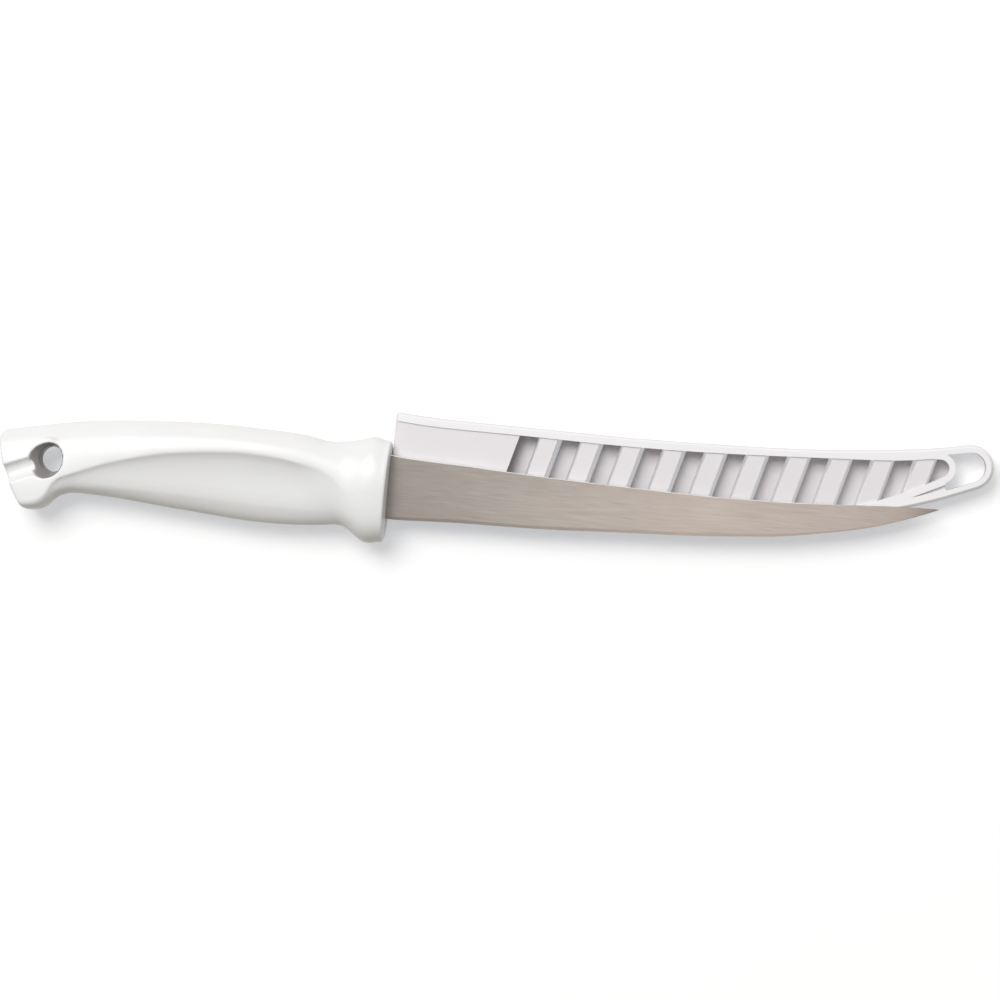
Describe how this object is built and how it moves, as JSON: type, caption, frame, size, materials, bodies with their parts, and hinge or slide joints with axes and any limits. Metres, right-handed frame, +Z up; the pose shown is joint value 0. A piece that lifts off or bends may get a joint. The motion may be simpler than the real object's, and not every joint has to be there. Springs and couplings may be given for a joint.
{
  "type": "fillet knife with sheath",
  "caption": "Fillet knife with a slim curved blade and a contoured moulded handle, lying over its open lattice sheath with a belt loop.",
  "frame": {"origin": "middle of the whole set on the table: centre of its bounding box in X and Y, Z 0 at the table", "axes": "+X from the handle's butt to the blade's tip, +Y from the cutting edge to the spine, +Z up from the table"},
  "size_m": [0.368, 0.0586, 0.0226],
  "materials": {
    "blade_steel": "satin, lengthwise grain",
    "handle_plastic": "gloss",
    "sheath_plastic": "satin"
  },
  "bodies": {
    "knife": {"blade": "blade_steel", "handle": "handle_plastic"},
    "sheath": {"sheath": "sheath_plastic"}
  },
  "joints": [
    {"name": "sheath_draw", "type": "slide", "parent": "knife", "child": "sheath", "axis": [1, 0, 0], "range_m": [0, 0.21]}
  ]
}
